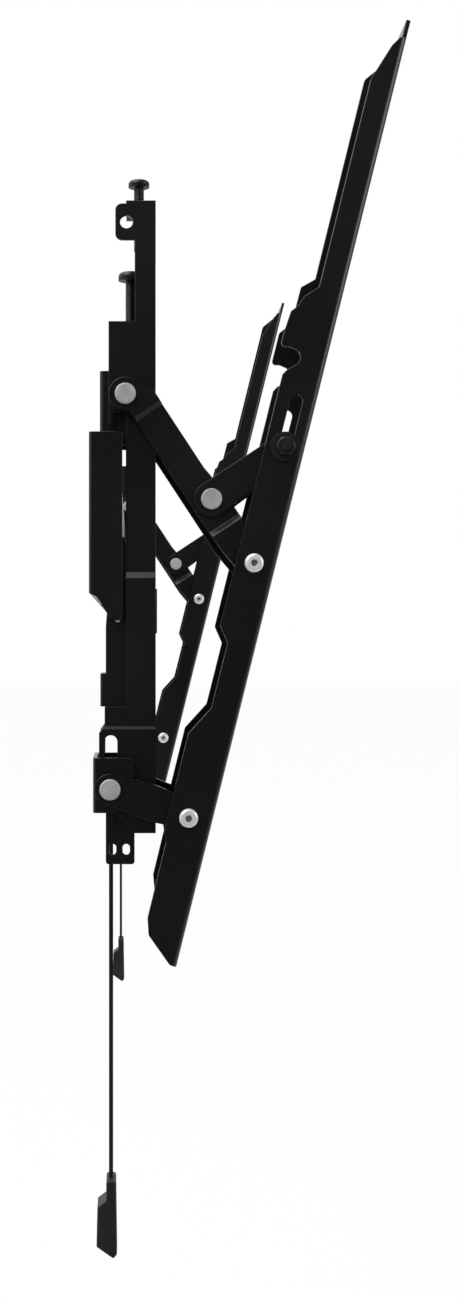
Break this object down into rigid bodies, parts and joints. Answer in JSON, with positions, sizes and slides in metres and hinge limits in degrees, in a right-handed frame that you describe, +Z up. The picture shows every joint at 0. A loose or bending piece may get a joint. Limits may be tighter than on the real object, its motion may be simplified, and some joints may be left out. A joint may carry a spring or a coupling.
{
  "type": "tilting tv wall bracket",
  "caption": "Fold-out tilting wall bracket for a flat screen: wall plate with hooked-on channel brackets, linked tilting arms, sprung catches and pull cords.",
  "frame": {"origin": "centre of the wall screw slots, on the wall plate's back face", "axes": "+X along the wall plate, +Y into the wall, +Z up; the screen side faces -Y"},
  "size_m": [0.6626, 0.1493, 0.5799],
  "materials": {
    "black_coat": "fine satin black powder coat",
    "bright_steel": "bright plated steel",
    "grey_steel": "dull zinc plated steel",
    "dark_steel": "black oxide steel",
    "spring_steel": "spring wire",
    "black_nylon": "fine matt moulding",
    "black_rubber": "soft matt rubber",
    "cord_braid": "fine braided cord"
  },
  "bodies": {
    "wall_plate": {"wall_plate": "black_coat", "front_rail": "black_coat", "bottom_straps": "black_coat"},
    "left_carriage": {"left_hanger": "black_coat", "left_wall_side_bracket": "black_coat", "left_bumper_pad": "black_rubber", "left_lower_clevis": "black_coat", "left_upper_pivot_rivets": "grey_steel", "left_lower_pivot_rivets": "grey_steel", "left_pivot_collars": "dark_steel", "left_catch_spring": "spring_steel"},
    "left_height_adjuster": {"left_height_screw": "dark_steel"},
    "left_clamp_screw": {"left_top_screw": "dark_steel"},
    "left_upper_links": {"left_upper_link_near": "black_coat", "left_upper_link_far": "black_coat", "left_elbow_rivets": "grey_steel"},
    "left_screen_arm": {"left_screen_bracket": "black_coat", "left_pivot_bolts": "bright_steel", "left_pivot_nuts": "dark_steel", "left_pivot_spacers": "dark_steel"},
    "left_tension_pair": {"left_tension_arms": "black_coat", "left_tension_studs": "dark_steel", "left_tension_nuts": "dark_steel", "left_tension_washers": "dark_steel", "left_friction_discs": "black_nylon"},
    "left_lower_links": {"left_lower_link_near": "black_coat", "left_lower_link_far": "black_coat"},
    "left_release": {"left_catch": "black_coat", "left_cord_fixing": "dark_steel", "left_pull_cord": "cord_braid", "left_pull_grip": "black_nylon"},
    "right_carriage": {"right_hanger": "black_coat", "right_wall_side_bracket": "black_coat", "right_bumper_pad": "black_rubber", "right_lower_clevis": "black_coat", "right_upper_pivot_rivets": "grey_steel", "right_lower_pivot_rivets": "grey_steel", "right_pivot_collars": "dark_steel", "right_catch_spring": "spring_steel"},
    "right_height_adjuster": {"right_height_screw": "dark_steel"},
    "right_clamp_screw": {"right_top_screw": "dark_steel"},
    "right_upper_links": {"right_upper_link_near": "black_coat", "right_upper_link_far": "black_coat", "right_elbow_rivets": "grey_steel"},
    "right_screen_arm": {"right_screen_bracket": "black_coat", "right_pivot_bolts": "bright_steel", "right_pivot_nuts": "dark_steel", "right_pivot_spacers": "dark_steel"},
    "right_tension_pair": {"right_tension_arms": "black_coat", "right_tension_studs": "dark_steel", "right_tension_nuts": "dark_steel", "right_tension_washers": "dark_steel", "right_friction_discs": "black_nylon"},
    "right_lower_links": {"right_lower_link_near": "black_coat", "right_lower_link_far": "black_coat"},
    "right_release": {"right_catch": "black_coat", "right_cord_fixing": "dark_steel", "right_pull_cord": "cord_braid", "right_pull_grip": "black_nylon"}
  },
  "joints": [
    {"name": "left_slide_along_plate", "type": "slide", "parent": "wall_plate", "child": "left_carriage", "axis": [1, 0, 0], "range_m": [0, 0.2]},
    {"name": "left_height_turn", "type": "hinge", "parent": "left_carriage", "child": "left_height_adjuster", "pos_m": [-0.3, -0.0195, 0.1025], "axis": [0, 0, 1], "continuous": true},
    {"name": "left_clamp_turn", "type": "hinge", "parent": "left_carriage", "child": "left_clamp_screw", "pos_m": [-0.3, -0.0235, 0.1585], "axis": [0, 0, 1], "continuous": true},
    {"name": "left_fold", "type": "hinge", "parent": "left_carriage", "child": "left_upper_links", "pos_m": [-0.3, -0.0171, 0.0673], "axis": [1, 0, 0], "range_deg": [0, 33]},
    {"name": "left_screen_pivot", "type": "hinge", "parent": "left_upper_links", "child": "left_screen_arm", "pos_m": [-0.3, -0.0765, -0.0115], "axis": [1, 0, 0], "range_deg": [-47.22, 0.2]},
    {"name": "left_elbow", "type": "hinge", "parent": "left_upper_links", "child": "left_tension_pair", "pos_m": [-0.3, -0.0571, 0.0184], "axis": [1, 0, 0], "range_deg": [-86.92, 0.2]},
    {"name": "left_lower_pivot", "type": "hinge", "parent": "left_carriage", "child": "left_lower_links", "pos_m": [-0.3, -0.01, -0.1164], "axis": [1, 0, 0], "range_deg": [-0.2, 50.86]},
    {"name": "left_catch_pull", "type": "slide", "parent": "left_carriage", "child": "left_release", "axis": [0, 0, -1], "range_m": [0, 0.008], "stiffness_N_per_m": 400, "springref_m": -0.004, "deforming": ["left_catch_spring"]},
    {"name": "right_slide_along_plate", "type": "slide", "parent": "wall_plate", "child": "right_carriage", "axis": [1, 0, 0], "range_m": [-0.2, 0]},
    {"name": "right_height_turn", "type": "hinge", "parent": "right_carriage", "child": "right_height_adjuster", "pos_m": [0.3, -0.0195, 0.1025], "axis": [0, 0, 1], "continuous": true},
    {"name": "right_clamp_turn", "type": "hinge", "parent": "right_carriage", "child": "right_clamp_screw", "pos_m": [0.3, -0.0235, 0.1585], "axis": [0, 0, 1], "continuous": true},
    {"name": "right_fold", "type": "hinge", "parent": "right_carriage", "child": "right_upper_links", "pos_m": [0.3, -0.0171, 0.0673], "axis": [1, 0, 0], "range_deg": [0, 33]},
    {"name": "right_screen_pivot", "type": "hinge", "parent": "right_upper_links", "child": "right_screen_arm", "pos_m": [0.3, -0.0765, -0.0115], "axis": [1, 0, 0], "range_deg": [-47.22, 0.2]},
    {"name": "right_elbow", "type": "hinge", "parent": "right_upper_links", "child": "right_tension_pair", "pos_m": [0.3, -0.0571, 0.0184], "axis": [1, 0, 0], "range_deg": [-86.92, 0.2]},
    {"name": "right_lower_pivot", "type": "hinge", "parent": "right_carriage", "child": "right_lower_links", "pos_m": [0.3, -0.01, -0.1164], "axis": [1, 0, 0], "range_deg": [-0.2, 50.86]},
    {"name": "right_catch_pull", "type": "slide", "parent": "right_carriage", "child": "right_release", "axis": [0, 0, -1], "range_m": [0, 0.008], "stiffness_N_per_m": 400, "springref_m": -0.004, "deforming": ["right_catch_spring"]}
  ],
  "couplings": [
    {"joint": "left_screen_pivot", "follows": "left_fold", "ratio": -1.4248},
    {"joint": "left_elbow", "follows": "left_fold", "ratio": -2.6279},
    {"joint": "left_lower_pivot", "follows": "left_fold", "ratio": 1.5351},
    {"joint": "right_screen_pivot", "follows": "right_fold", "ratio": -1.4248},
    {"joint": "right_elbow", "follows": "right_fold", "ratio": -2.6279},
    {"joint": "right_lower_pivot", "follows": "right_fold", "ratio": 1.5351}
  ]
}
